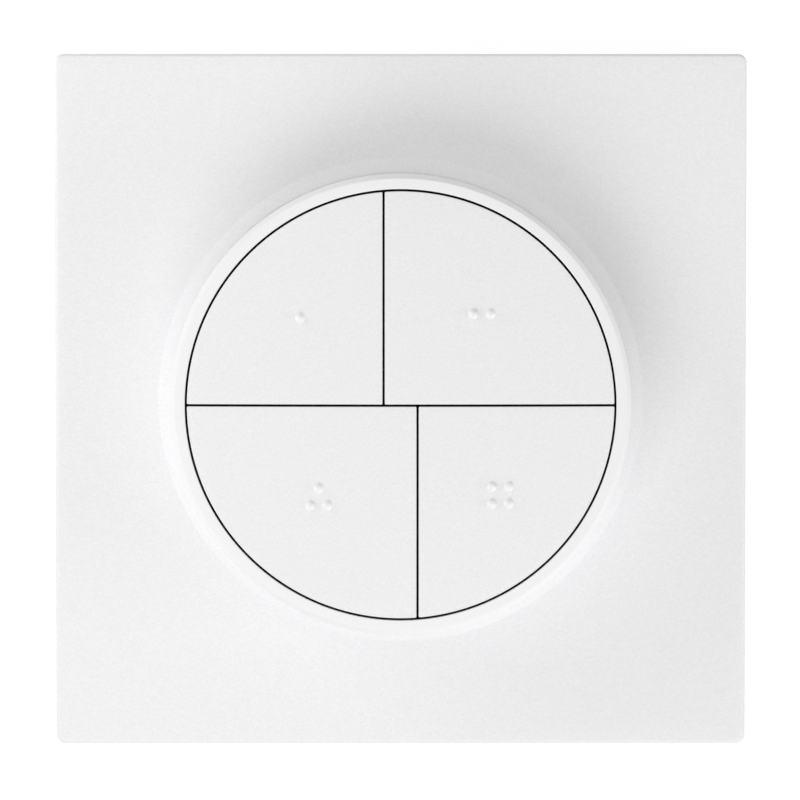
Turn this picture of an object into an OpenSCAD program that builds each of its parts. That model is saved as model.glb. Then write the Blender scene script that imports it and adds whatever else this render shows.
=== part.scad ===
// Smart button: a square wall plate with a lift-off puck.
// The puck has a turning dial ring around four tilting keys.
// Lengths are in millimetres. The wall is the plane z = 0 and the front faces up.

/* [Wall plate] */
// Side of the square plate
plate_w = 80; // [77:1:90]
// Distance from the wall to the front face
plate_t = 5.2; // [4.9:0.1:6]
// Corner radius seen from the front
plate_corner_r = 1; // [0.5:0.1:3]
// Rounding of the front edge
plate_edge_r = 0.4; // [0.2:0.1:0.7]
// Thickness of the shell
plate_wall = 1.6; // [1.4:0.1:1.9]
// Height of the locating collar above the front face
collar_h = 0.4; // [0.2:0.1:0.7]
// Width of the collar's sloping rim
collar_slope = 1.67; // [1.2:0.01:2]
// Flat top of the collar that shows outside the dial
collar_margin = 0.15; // [0.1:0.05:0.6]
// Depth of the puck's socket below the collar's top
socket_depth = 2.4; // [2.1:0.1:2.7]
// Radial clearance of the puck's base in its socket
socket_clear = 0.5; // [0.3:0.05:0.8]

/* [Mounting bracket] */
// Thickness of the bracket
bracket_t = 2; // [1.7:0.1:2.3]
// Clearance between the bracket and the plate around it
bracket_clear = 0.4; // [0.2:0.05:0.5]
// Distance from the bracket's bore to the middle of a wall screw hole
screw_inset = 4.05; // [3.6:0.05:5]
// Diameter of a wall screw hole
screw_hole_d = 4.2; // [3.6:0.1:4.5]
// Depth of the countersink of a wall screw hole
countersink_depth = 1; // [0.6:0.1:1.2]
// Width of a snap tongue
tongue_w = 10; // [6:1:14]
// Reach of a snap tongue past the bracket's edge
tongue_reach = 0.8; // [0.6:0.05:0.9]
// Thickness of a snap tongue
tongue_t = 0.8; // [0.6:0.1:1.2]
// Clearance around a snap tongue in its pocket
tongue_clear = 0.2; // [0.1:0.05:0.3]
// Side of a seat that the bracket rests against
seat_w = 6; // [4:0.5:8]
// Length of an adhesive pad
pad_l = 18; // [14:1:20]
// Width of an adhesive pad
pad_w = 10; // [8:1:12]
// Thickness of an adhesive pad
pad_t = 0.8; // [0.6:0.1:1.1]
// Corner radius of an adhesive pad
pad_corner_r = 1.5; // [0.5:0.1:3]
// Distance from the bracket's edge to a pad
pad_inset = 2; // [1.5:0.1:3]

/* [Keeper disc] */
// Thickness of the steel keeper disc
keeper_t = 1; // [0.8:0.1:1.2]
// Radial clearance of the keeper disc in the socket
keeper_clear = 0.4; // [0.2:0.05:0.6]
// Diameter of a stake that holds the keeper disc
stake_d = 2; // [1.6:0.1:2.6]
// Diameter of a stake's head
stake_head_d = 3.4; // [3:0.1:4]
// Height of a stake's head
stake_head_h = 0.3; // [0.2:0.05:0.4]
// Radial clearance of a stake in the keeper disc
stake_clear = 0.1; // [0.05:0.05:0.2]
// Diameter of the circle through the stakes
stake_circle_d = 30; // [24:1:34]

/* [Dial] */
// Outer diameter of the dial
ring_d = 52.5; // [52:0.1:56]
// Height of the dial's front above the plate's front
dial_h = 11.6; // [11.4:0.1:13]
// Width of the dial's front
bezel_w = 1.7; // [1.6:0.05:2.1]
// Fall of the dial's front from the keys to its chamfer
ring_fall = 0.12; // [0.05:0.01:0.2]
// Radial width of the chamfer on the dial's front edge
ring_edge_w = 0.5; // [0.3:0.05:0.8]
// Height of the chamfer on the dial's front edge
ring_edge_h = 0.7; // [0.4:0.05:0.85]
// Rounding of the dial's lower edge
ring_foot_r = 0.3; // [0.2:0.05:0.4]
// Wall thickness of the white ring
ring_wall = 1.1; // [1:0.05:1.25]
// Thickness of the white ring's front lip
lip_t = 1.1; // [0.9:0.1:1.4]
// Gap between the dial and the collar below it
ring_lift = 0.3; // [0.2:0.05:0.5]
// Height of the hub's lower edge above the ring's
hub_lift = 0.5; // [0.3:0.1:0.8]
// Setback of the hub's bore behind the lip's
hub_setback = 0.03; // [0.02:0.01:0.06]
// Glue gap between bonded round parts
bond_gap = 0.02; // [0.01:0.01:0.04]
// Width of the hub's bearing rib
rib_w = 2.9; // [2.7:0.1:3.1]
// Thickness of the hub's bearing rib
rib_t = 1.2; // [1:0.1:1.4]
// Radial running clearance of turning and sliding fits
run_clear = 0.05; // [0.02:0.01:0.08]
// Thickness of the glide ring below the rib
glide_lower_t = 0.4; // [0.3:0.05:0.6]
// Thickness of the glide ring above the rib
glide_upper_t = 0.25; // [0.2:0.05:0.35]
// Gap between the rib and a glide ring
glide_clear = 0.05; // [0.03:0.01:0.08]
// Height of the encoder's magnet ring
encoder_h = 1.4; // [1:0.1:1.8]
// Gap between the magnet ring and the chassis
encoder_clear = 0.3; // [0.2:0.05:0.4]

/* [Keys] */
// Gap around each key
key_gap = 0.25; // [0.2:0.01:0.35]
// Rise of the domed front from its rim to its middle
key_crown = 0.86; // [0.5:0.02:1.2]
// Sideways offset of the two short splits
split_offset = 1.93; // [1.5:0.01:2.4]
// Thickness of a cap at the rim
cap_t = 1.1; // [1:0.05:1.2]
// Thickness of a carrier
carrier_t = 1; // [0.9:0.05:1.1]
// Inset of a carrier behind its cap's edge
carrier_inset = 0.1; // [0.05:0.01:0.15]
// Diameter of a raised dot
dot_d = 1.05; // [1:0.05:1.5]
// Height of a raised dot
dot_h = 0.45; // [0.2:0.05:0.5]
// Distance between neighbouring dots
dot_pitch = 1.95; // [1.7:0.05:2.2]
// Dot of key 1, distance left of the middle
dot_1_x = 11.4; // [8:0.1:14]
// Dot of key 1, distance above the middle
dot_1_y = 9.95; // [8:0.05:13]
// Dots of key 2, distance right of the middle
dot_2_x = 9.25; // [8:0.05:14]
// Dots of key 2, distance above the middle
dot_2_y = 10.4; // [8:0.1:13]
// Dots of key 3, distance left of the middle
dot_3_x = 9.3; // [8:0.1:14]
// Dots of key 3, distance below the middle
dot_3_y = 10.4; // [8:0.05:13]
// Dots of key 4, distance right of the middle
dot_4_x = 11.35; // [8:0.05:14]
// Dots of key 4, distance below the middle
dot_4_y = 10.2; // [8:0.1:13]

/* [Key hinges] */
// Distance of each hinge rod from the long split
hinge_offset = 3; // [2.9:0.1:3.6]
// Drop of a rod's axis below the carriers
hinge_drop = 1.2; // [1.1:0.05:1.3]
// Diameter of a hinge rod
rod_d = 1; // [0.8:0.05:1.1]
// Length of a hinge rod
rod_l = 41; // [40:0.2:41.6]
// Clearance of a rod in the chassis
rod_seat_clear = 0.01; // [0.005:0.005:0.02]
// Wall of an ear around its rod
ear_wall = 0.5; // [0.4:0.05:0.55]
// Width of an ear along its rod
ear_w = 2.4; // [1.8:0.1:3]
// Gap between an ear and the chassis deck
ear_clear = 0.15; // [0.1:0.01:0.25]
// Distance of the inner ears from the middle
ear_inner_x = 6; // [5.4:0.1:7]
// Distance of the outer ears from the middle
ear_outer_x = 15.5; // [13:0.1:16]
// Width of a bearing block along its rod
block_w = 2; // [1.6:0.1:2.4]
// Wall of a bearing block around its rod
block_wall = 0.35; // [0.3:0.05:0.5]
// Gap between a carrier's inner edge and its stop
stop_clear = 0.05; // [0.03:0.01:0.1]
// Width of the stop rib below the long split
stop_rib_w = 2.4; // [1.6:0.1:2.8]
// Length of the stop rib
stop_rib_l = 38; // [30:1:40]

/* [Switches] */
// Side of a switch housing
switch_w = 5.2; // [4.5:0.1:5.4]
// Height of a switch housing
switch_h = 1.4; // [1.2:0.05:1.5]
// Distance of a switch from the middle, left or right
switch_x = 9.5; // [9:0.1:10]
// Distance of a switch from the middle, up or down
switch_y = 12.5; // [12:0.1:13]
// Clearance around a switch in the chassis deck
switch_clear = 0.4; // [0.2:0.05:0.5]
// Diameter of a switch plunger
plunger_d = 2.6; // [2:0.1:3]
// Rise of a plunger above its housing
plunger_rise = 0.5; // [0.4:0.05:0.6]
// Depth of a plunger inside its housing
plunger_depth = 0.6; // [0.4:0.05:0.7]
// Free depth below a plunger
plunger_room = 0.4; // [0.35:0.05:0.5]
// Diameter of a carrier's pressing nub
nub_d = 2; // [1.6:0.1:2.4]
// Gap between a nub and its plunger
nub_clear = 0.02; // [0.01:0.01:0.04]

/* [Base] */
// Thickness of the rubber foot ring
foot_t = 0.5; // [0.4:0.05:0.7]
// Width of the rubber foot ring
foot_w = 2.2; // [1.6:0.1:2.6]
// Distance from the base's edge to the foot ring
foot_inset = 0.6; // [0.4:0.1:1]
// Thickness of the base's floor
base_floor_t = 1.2; // [1.1:0.05:1.4]
// Thickness of the base's wall
base_wall = 1; // [0.8:0.05:1.1]
// Gap between the base and the dial's bore
base_clear = 1.1; // [0.9:0.05:1.3]
// Thickness of the chassis's round wall
chassis_wall = 1; // [0.8:0.05:1.2]
// Thickness of the chassis's deck
deck_t = 1.2; // [1:0.05:1.3]
// Width of the flange that holds the dial down
flange_w = 1.3; // [1.1:0.05:1.4]
// Thickness of the flange below the deck
flange_t = 1; // [0.8:0.05:1.1]

/* [Magnets and screws] */
// Diameter of a holding magnet
magnet_d = 6; // [5:0.1:6.2]
// Thickness of a holding magnet
magnet_t = 1.5; // [1:0.1:2]
// Skin of the base below a magnet
magnet_skin = 0.6; // [0.4:0.05:0.8]
// Radial clearance of a magnet in its pocket
magnet_clear = 0.05; // [0.03:0.01:0.1]
// Wall of a magnet pocket
pocket_wall = 0.75; // [0.6:0.05:0.9]
// Shank diameter of a case screw
screw_d = 1.6; // [1.4:0.1:1.8]
// Shank length of a case screw
screw_l = 4.6; // [4:0.1:4.8]
// Head diameter of a case screw
screw_head_d = 3; // [2.6:0.1:3.2]
// Head height of a case screw
screw_head_h = 0.8; // [0.6:0.05:0.85]
// Length of the cross recess in a screw head
recess_l = 1.8; // [1.4:0.1:2.2]
// Width of the cross recess in a screw head
recess_w = 0.4; // [0.3:0.05:0.5]
// Depth of the cross recess in a screw head
recess_depth = 0.4; // [0.3:0.05:0.5]
// Depth of a screw head below the base's underside
screw_sink = 0.1; // [0.05:0.05:0.2]
// Radial clearance of a screw in the base
screw_clear = 0.15; // [0.1:0.05:0.2]
// Radial clearance of a screw in its pilot hole
pilot_clear = 0.02; // [0.01:0.01:0.03]
// Wall below and around a screw head
screw_seat = 1; // [0.8:0.05:1.2]
// Width of a chassis boss beyond half of the band between the door and the chassis's wall
boss_extra = 0.2; // [0:0.05:0.4]

/* [Battery] */
// Diameter of the coin cell
cell_d = 20; // [18:0.1:20.6]
// Thickness of the coin cell
cell_t = 3.2; // [2.5:0.1:3.6]
// Bevel of the cell's lower edge and step of its upper edge
cell_edge = 0.4; // [0.2:0.05:0.6]
// Radial clearance of the cell in the door's rim
cell_clear = 0.3; // [0.2:0.05:0.4]
// Gap between the cell and the door
cell_lift = 0.1; // [0.05:0.01:0.15]
// Thickness of the door
door_t = 0.65; // [0.6:0.01:0.7]
// Thickness of the door's rim
door_rim = 0.6; // [0.5:0.05:0.7]
// Radial clearance of the door in the base
door_clear = 0.15; // [0.1:0.01:0.2]
// Gap between the door and the ledge it locks on
ledge_clear = 0.05; // [0.03:0.01:0.08]
// Reach of a locking lug
lug_reach = 1.1; // [0.9:0.05:1.2]
// Thickness of a locking lug
lug_t = 0.6; // [0.5:0.05:0.8]
// Width of a locking lug in degrees
lug_angle = 24; // [18:1:30]
// Play of a lug in its notch in degrees
notch_play = 4; // [3:0.5:6]
// Turn between locked and free in degrees
door_twist = 45; // [40:1:60]
// Margin of the door around its lugs
door_margin = 0.2; // [0.1:0.05:0.3]
// Length of the coin slot
coin_slot_l = 12; // [8:1:14]
// Width of the coin slot
coin_slot_w = 1.8; // [1.5:0.1:2.2]
// Depth of the coin slot
coin_slot_depth = 0.35; // [0.25:0.05:0.4]
// Thickness of a battery contact's sheet
contact_t = 0.25; // [0.2:0.05:0.3]
// Width of the positive contact
contact_w = 5; // [4:0.5:6]
// Length of a battery contact's foot on the board
contact_foot = 2.4; // [1.6:0.1:3]
// Gap between the positive contact and the cell
contact_clear = 0.1; // [0.05:0.05:0.2]
// Outer diameter of the negative contact
negative_d = 9; // [7:0.5:11]
// Tip diameter of the negative contact
negative_tip_d = 3.6; // [3:0.1:4.5]

/* [Circuit board] */
// Thickness of the board
board_t = 1; // [0.8:0.1:1.2]
// Radial clearance of the board in the chassis
board_clear = 0.5; // [0.3:0.05:0.6]
// Gap between the board and the chassis deck
board_standoff = 0.3; // [0.2:0.05:0.4]
// Clearance around a chassis boss in the board
boss_clear = 0.3; // [0.2:0.05:0.4]
// Diameter of a post that holds the board
post_d = 2.4; // [1.8:0.1:2.8]
// Angle of a board post from the horizontal
post_angle = 22.5; // [21:0.5:24]
// Length of the radio module
radio_l = 8; // [7:0.1:9]
// Width of the radio module
radio_w = 5.4; // [4.5:0.1:5.6]
// Height of the radio module
radio_h = 1.8; // [1.4:0.1:2.2]
// Height of the radio module's rim
radio_rim_h = 0.5; // [0.3:0.05:0.7]
// Angle of the radio module around the board
radio_angle = 225; // [222:1:228]
// Length of a hall sensor
hall_l = 2.8; // [2.4:0.1:3]
// Width of a hall sensor
hall_w = 1.4; // [1.2:0.1:1.6]
// Height of a hall sensor
hall_h = 1; // [0.8:0.1:1.2]
// Reach of a hall sensor's legs past its sides
hall_leg = 0.5; // [0.3:0.05:0.6]
// Distance from a hall sensor to the board's edge
hall_inset = 0.8; // [0.7:0.05:1.2]
// Angle midway between the hall sensors
hall_angle = 119; // [116:1:122]
// Angle between the hall sensors
hall_spread = 14; // [12:0.5:16]
// Side of the controller chip
chip_w = 4.6; // [4:0.1:5]
// Height of the controller chip
chip_h = 0.9; // [0.6:0.1:1.1]
// Angle of the controller chip around the board
chip_angle = 315; // [312:1:318]
// Length of the crystal and of the capacitor
crystal_l = 3.2; // [2.5:0.1:3.4]
// Width of the crystal and of the capacitor
crystal_w = 1.6; // [1.2:0.1:2]
// Height of the crystal and of the capacitor
crystal_h = 0.8; // [0.5:0.1:1]
// Angle of the crystal around the board
crystal_angle = 292; // [290:1:294]
// Angle of the capacitor around the board
capacitor_angle = 45; // [42:1:46]

/* [Setup button] */
// Angle of the setup button around the puck
setup_angle = 67.5; // [66:0.5:69]
// Diameter of the setup button's stem
setup_d = 2; // [1.6:0.1:2.2]
// Diameter of the setup button's collar
setup_flange_d = 3.2; // [2.8:0.1:3.4]
// Thickness of the setup button's collar
setup_flange_t = 0.4; // [0.3:0.05:0.6]
// Depth of the button's end below the base's underside
setup_sink = 0.2; // [0.1:0.05:0.3]
// Wall of the button's guide
setup_guide_wall = 0.9; // [0.8:0.05:1]
// Height of the button's guide above the floor
setup_guide_h = 1; // [0.8:0.05:1.2]
// Free distance from the button to its switch's dome
setup_room = 0.5; // [0.45:0.05:0.6]
// Side of the setup switch
setup_switch_w = 4; // [3.6:0.1:4.2]
// Height of the setup switch
setup_switch_h = 1.2; // [1.1:0.05:1.4]

/* [Hidden] */
$fn = 96;
eps = 0.5;
dome_steps = 12;

// Radii, from the dial's outside to the middle
ring_r = ring_d / 2;
lip_in_r = ring_r - bezel_w;
key_r = lip_in_r - key_gap;
shell_in_r = ring_r - ring_wall;
hub_out_r = shell_in_r - bond_gap;
hub_in_r = lip_in_r + hub_setback;
journal_r = lip_in_r - rib_w;
rib_in_r = journal_r + run_clear;
chassis_in_r = journal_r - chassis_wall;
board_r = chassis_in_r - board_clear;
flange_r = journal_r + flange_w;
base_r = lip_in_r - base_clear;
base_in_r = base_r - base_wall;
socket_r = base_r + socket_clear;
cup_r = socket_r + plate_wall;
keeper_r = socket_r - keeper_clear;
collar_top_r = ring_r + collar_margin;
collar_r = collar_top_r + collar_slope;
crown_r = (key_r * key_r + key_crown * key_crown) / (2 * key_crown);

// Radii of the battery door, from the cell outwards
cell_r = cell_d / 2;
rim_in_r = cell_r + cell_clear;
rim_out_r = rim_in_r + door_rim;
door_hole_r = rim_out_r + door_clear;
lug_r = rim_out_r + lug_reach;
notch_r = lug_r + door_clear;
door_r = lug_r + door_margin;
door_seat_r = door_r + door_clear;
notch_angle = lug_angle + notch_play;

// Magnets, screws and posts stand midway between the door and the chassis's wall
fixing_r = (door_seat_r + chassis_in_r) / 2;
boss_r = (chassis_in_r - door_seat_r) / 4 + boss_extra / 2;
setup_r = setup_d / 2;

// Half sides of the plate's hollow and of the bracket
inner_half = plate_w / 2 - plate_wall;
bracket_half = inner_half - bracket_clear;
bracket_bore_r = cup_r + bracket_clear;
screw_circle_r = bracket_bore_r + screw_inset;

// Heights, from the wall up to the base
inner_top_z = plate_t - plate_wall;
bracket_top_z = pad_t + bracket_t;
tongue_z = pad_t + (bracket_t - tongue_t) / 2;
collar_top_z = plate_t + collar_h;
seat_z = collar_top_z - socket_depth;
foot_z = seat_z + keeper_t;
base_z = foot_z + foot_t;
floor_z = base_z + base_floor_t;
door_top_z = base_z + door_t;
ledge_z = door_top_z + ledge_clear;
lug_z = floor_z + ledge_clear;
lug_top_z = lug_z + lug_t;
cell_z = door_top_z + cell_lift;
cell_top_z = cell_z + cell_t;
screw_head_z = base_z + screw_sink;
screw_seat_z = screw_head_z + screw_head_h;
boss_seat_z = screw_seat_z + screw_seat;
magnet_z = base_z + magnet_skin;
magnet_top_z = magnet_z + magnet_t;
ring_z = collar_top_z + ring_lift;
setup_z = base_z + setup_sink;
guide_top_z = floor_z + setup_guide_h;
setup_flange_z = guide_top_z + ledge_clear;

// Heights, from the dial's front down to the base
front_z = plate_t + dial_h;
lip_z = front_z - lip_t;
cap_z = front_z - cap_t;
carrier_z = cap_z - carrier_t;
hinge_z = carrier_z - hinge_drop;
rod_r = rod_d / 2;
ear_bore_r = rod_r + run_clear;
ear_r = ear_bore_r + ear_wall;
deck_top_z = hinge_z - ear_r - ear_clear;
deck_z = deck_top_z - deck_t;
board_top_z = deck_z - board_standoff;
board_z = board_top_z - board_t;
flange_z = deck_z - flange_t;
rib_top_z = flange_z - glide_clear - glide_upper_t - glide_clear;
rib_z = rib_top_z - rib_t;
glide_z = rib_z - glide_clear - glide_lower_t;
switch_top_z = board_top_z + switch_h;
plunger_top_z = switch_top_z + plunger_rise;
plunger_z = switch_top_z - plunger_depth;
nub_r = nub_d / 2;
nub_z = plunger_top_z + nub_clear + nub_r;
setup_switch_z = board_z - setup_switch_h;
setup_dome_z = setup_switch_z + setup_room;

// Sign of each key across and up: left or right, upper or lower
key_across = [-1, 1, -1, 1];
key_up = [1, 1, -1, -1];

// Places around the puck's axis: one place, the diagonals, the axes and the board posts
module around_board(angle, r) {
  rotate(angle) translate([r, 0, 0]) children();
}

module on_diagonals() {
  for (turn = [45 : 90 : 315]) rotate(turn) translate([fixing_r, 0, 0]) children();
}

module on_axes() {
  for (turn = [0 : 90 : 270]) rotate(turn) translate([fixing_r, 0, 0]) children();
}

module on_posts() {
  for (across = [0, 180]) {
    for (side = [-1, 1]) rotate(across + side * post_angle) translate([fixing_r, 0, 0]) children();
  }
}

// A pipe from height z
module pipe(outer_r, inner_r, z, h) {
  translate([0, 0, z]) difference() {
    cylinder(r = outer_r, h = h);
    translate([0, 0, -eps]) cylinder(r = inner_r, h = h + 2 * eps);
  }
}

// A disc from height z
module disc(r, z, h) {
  translate([0, 0, z]) cylinder(r = r, h = h);
}

// A box centred on the axis from height z
module slab(l, w, z, h) {
  translate([-l / 2, -w / 2, z]) cube([l, w, h]);
}

module rounded_rectangle(l, w, r) {
  square([l, w - 2 * r], center = true);
  square([l - 2 * r, w], center = true);
  for (x = [-1, 1]) {
    for (y = [-1, 1]) translate([x * (l / 2 - r), y * (w / 2 - r)]) circle(r);
  }
}

// Side view of the plate with its two rounded front edges
module plate_profile() {
  translate([-plate_w / 2, 0]) square([plate_w, plate_t - plate_edge_r]);
  translate([-plate_w / 2 + plate_edge_r, 0]) square([plate_w - 2 * plate_edge_r, plate_t]);
  for (side = [-1, 1]) {
    translate([side * (plate_w / 2 - plate_edge_r), plate_t - plate_edge_r]) circle(plate_edge_r);
  }
}

module plate_block() {
  intersection() {
    linear_extrude(plate_t) rounded_rectangle(plate_w, plate_w, plate_corner_r);
    rotate([90, 0, 0]) linear_extrude(plate_w + 2 * eps, center = true) plate_profile();
    rotate([90, 0, 90]) linear_extrude(plate_w + 2 * eps, center = true) plate_profile();
  }
}

module stakes() {
  for (turn = [30 : 120 : 270]) rotate(turn) translate([stake_circle_d / 2, 0, 0]) children();
}

module wall_plate() {
  color("white") union() {
    difference() {
      union() {
        difference() {
          plate_block();
          slab(2 * inner_half, 2 * inner_half, -eps, inner_top_z + eps);
        }
        for (x = [-1, 1]) {
          for (y = [-1, 1]) {
            translate([x * (bracket_half - seat_w), y * (bracket_half - seat_w), 0])
              slab(seat_w, seat_w, bracket_top_z, plate_t - plate_wall / 2 - bracket_top_z);
          }
        }
        disc(cup_r, seat_z - plate_wall, plate_t - plate_wall / 2 - seat_z + plate_wall);
        rotate_extrude() polygon([[0, inner_top_z + plate_wall / 2],
          [collar_r, inner_top_z + plate_wall / 2], [collar_r, plate_t],
          [collar_top_r, collar_top_z], [0, collar_top_z]]);
      }
      disc(socket_r, seat_z, socket_depth + eps);
      for (turn = [0 : 90 : 270]) {
        rotate(turn) translate([inner_half - eps, -tongue_w / 2 - tongue_clear, tongue_z - tongue_clear])
          cube([eps + bracket_half + tongue_reach + tongue_clear - inner_half,
            tongue_w + 2 * tongue_clear, tongue_t + 2 * tongue_clear]);
      }
    }
    stakes() disc(stake_d / 2, seat_z - plate_wall / 2, foot_z - seat_z + plate_wall / 2 + stake_head_h / 2);
    stakes() disc(stake_head_d / 2, foot_z, stake_head_h);
  }
}

module mounting_bracket() {
  color("gainsboro") difference() {
    union() {
      slab(2 * bracket_half, 2 * bracket_half, pad_t, bracket_t);
      for (turn = [0 : 90 : 270]) {
        rotate(turn) translate([bracket_half - eps, -tongue_w / 2, tongue_z])
          cube([eps + tongue_reach, tongue_w, tongue_t]);
      }
    }
    disc(bracket_bore_r, pad_t - eps, bracket_t + 2 * eps);
    for (turn = [0 : 90 : 270]) {
      rotate(turn) translate([screw_circle_r, 0, 0]) {
        disc(screw_hole_d / 2, pad_t - eps, bracket_t + 2 * eps);
        translate([0, 0, bracket_top_z - countersink_depth])
          cylinder(r1 = screw_hole_d / 2, r2 = screw_hole_d / 2 + countersink_depth + eps,
            h = countersink_depth + eps);
      }
    }
  }
}

module adhesive_pads() {
  color("dimgray") for (x = [-1, 1]) {
    for (y = [-1, 1]) {
      translate([x * (bracket_half - pad_inset - pad_l / 2), y * (bracket_half - pad_inset - pad_w / 2), 0])
        linear_extrude(pad_t) rounded_rectangle(pad_l, pad_w, pad_corner_r);
    }
  }
}

module keeper_disc() {
  color("silver") difference() {
    disc(keeper_r, seat_z, keeper_t);
    stakes() disc(stake_d / 2 + stake_clear, seat_z - eps, keeper_t + 2 * eps);
  }
}

// A wedge of a turn, as wide as angle, centred on the x axis
module wedge(angle, r, z, h) {
  translate([0, 0, z]) rotate(-angle / 2) rotate_extrude(angle = angle) square([r, h]);
}

module base_cup() {
  color("whitesmoke") difference() {
    union() {
      disc(base_r, base_z, base_floor_t);
      pipe(base_r, base_in_r, base_z, glide_z - base_z);
      on_axes() disc(screw_head_d / 2 + screw_clear + screw_seat, base_z, boss_seat_z - base_z);
      on_diagonals() disc(magnet_d / 2 + magnet_clear + pocket_wall, base_z, magnet_top_z - base_z);
      on_posts() disc(post_d / 2, base_z, board_z - base_z);
      around_board(setup_angle, fixing_r)
        disc(setup_r + run_clear + setup_guide_wall, base_z, guide_top_z - base_z);
    }
    disc(door_hole_r, base_z - eps, base_floor_t + 2 * eps);
    disc(door_seat_r, base_z - eps, ledge_z - base_z + eps);
    for (turn = [0 : 120 : 240]) {
      rotate(turn - door_twist) wedge(notch_angle, notch_r, base_z - eps, base_floor_t + 2 * eps);
    }
    on_axes() {
      disc(screw_head_d / 2 + screw_clear, base_z - eps, screw_seat_z - base_z + eps);
      disc(screw_d / 2 + screw_clear, base_z - eps, boss_seat_z - base_z + 2 * eps);
    }
    on_diagonals() disc(magnet_d / 2 + magnet_clear, magnet_z, magnet_t + eps);
    around_board(setup_angle, fixing_r)
      disc(setup_r + run_clear, base_z - eps, guide_top_z - base_z + 2 * eps);
  }
}

module foot_ring() {
  color("gray") pipe(base_r - foot_inset, base_r - foot_inset - foot_w, foot_z, foot_t);
}

module holding_magnets() {
  color("lightgray") on_diagonals() disc(magnet_d / 2, magnet_z, magnet_t);
}

module case_screws() {
  color("silver") on_axes() difference() {
    union() {
      disc(screw_head_d / 2, screw_head_z, screw_head_h);
      disc(screw_d / 2, screw_head_z + screw_head_h / 2, screw_head_h / 2 + screw_l);
    }
    slab(recess_l, recess_w, screw_head_z - eps, eps + recess_depth);
    slab(recess_w, recess_l, screw_head_z - eps, eps + recess_depth);
  }
}

module battery_door() {
  color("whitesmoke") difference() {
    union() {
      disc(door_r, base_z, door_t);
      pipe(rim_out_r, rim_in_r, base_z + door_t / 2, lug_top_z - base_z - door_t / 2);
      intersection() {
        pipe(lug_r, rim_in_r + door_rim / 2, lug_z, lug_t);
        for (turn = [0 : 120 : 240]) rotate(turn) wedge(lug_angle, lug_r + eps, lug_z - eps, lug_t + 2 * eps);
      }
    }
    slab(coin_slot_l, coin_slot_w, base_z - eps, eps + coin_slot_depth);
  }
}

module coin_cell() {
  color("silver") rotate_extrude() polygon([[0, cell_z], [cell_r - cell_edge, cell_z],
    [cell_r, cell_z + cell_edge], [cell_r, cell_top_z - cell_edge],
    [cell_r - 2 * cell_edge, cell_top_z - cell_edge], [cell_r - 3 * cell_edge, cell_top_z], [0, cell_top_z]]);
}

module positive_contact() {
  leg_r = cell_r + contact_clear;
  color("gold") rotate(180 - post_angle) union() {
    translate([leg_r, -contact_w / 2, lug_top_z + cell_lift])
      cube([contact_t, contact_w, board_z - lug_top_z - cell_lift]);
    translate([leg_r, -contact_w / 2, board_z - contact_t]) cube([contact_foot, contact_w, contact_t]);
  }
}

module negative_contact() {
  color("gold") rotate_extrude() polygon([[0, cell_top_z], [negative_tip_d / 2, cell_top_z],
    [negative_d / 2, board_z - contact_t], [negative_d / 2 + contact_foot / 2, board_z - contact_t],
    [negative_d / 2 + contact_foot / 2, board_z], [negative_d / 2 - contact_t, board_z],
    [negative_tip_d / 2 - contact_t, cell_top_z + contact_t], [0, cell_top_z + contact_t]]);
}

module circuit_board() {
  color("darkgreen") difference() {
    disc(board_r, board_z, board_t);
    on_axes() disc(boss_r + boss_clear, board_z - eps, board_t + 2 * eps);
  }
}

module radio_module() {
  color("silver") around_board(radio_angle, fixing_r) union() {
    slab(radio_w, radio_l, board_z - radio_h, radio_h);
    slab(radio_w + 2 * contact_t, radio_l + 2 * contact_t, board_z - radio_rim_h, radio_rim_h);
  }
}

module hall_sensors() {
  color("dimgray") for (side = [-1, 1]) {
    around_board(hall_angle + side * hall_spread / 2, board_r - hall_inset - hall_leg - hall_w / 2) union() {
      slab(hall_w, hall_l, board_z - hall_h, hall_h);
      slab(hall_w + 2 * hall_leg, hall_l - hall_leg, board_z - contact_t, contact_t);
    }
  }
}

module board_components() {
  color("dimgray") {
    around_board(chip_angle, fixing_r) slab(chip_w, chip_w, board_z - chip_h, chip_h);
    for (angle = [crystal_angle, capacitor_angle]) {
      around_board(angle, fixing_r) slab(crystal_w, crystal_l, board_z - crystal_h, crystal_h);
    }
  }
}

module at_switch(index) {
  translate([key_across[index] * switch_x, key_up[index] * switch_y, 0]) children();
}

module switch_bodies() {
  color("dimgray") for (index = [0 : 3]) {
    at_switch(index) difference() {
      slab(switch_w, switch_w, board_top_z, switch_h);
      disc(plunger_d / 2 + run_clear, plunger_z - plunger_room, plunger_depth + plunger_room + eps);
    }
  }
}

module switch_plunger(index) {
  color("black") at_switch(index) union() {
    disc(plunger_d / 2, plunger_z, plunger_depth + plunger_rise / 2);
    translate([0, 0, switch_top_z + plunger_rise / 2])
      cylinder(r1 = plunger_d / 2, r2 = plunger_d / 2 - plunger_rise / 4, h = plunger_rise / 2);
  }
}

module setup_switch() {
  color("dimgray") around_board(setup_angle, fixing_r) difference() {
    slab(setup_switch_w, setup_switch_w, setup_switch_z, setup_switch_h);
    disc(setup_r + run_clear, setup_switch_z - eps, setup_dome_z - setup_switch_z + eps);
  }
}

module setup_button() {
  color("gray") around_board(setup_angle, fixing_r) union() {
    disc(setup_r, setup_z, setup_switch_z - setup_z);
    disc(setup_flange_d / 2, setup_flange_z, setup_flange_t);
  }
}

// Position of a rod's bearing blocks along it
function block_x(up) = [-rod_l / 2 + block_w / 2, -up * split_offset, rod_l / 2 - block_w / 2];

module rod_bore(up, r, l) {
  translate([-l / 2, up * hinge_offset, hinge_z]) rotate([0, 90, 0]) cylinder(r = r, h = l);
}

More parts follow.
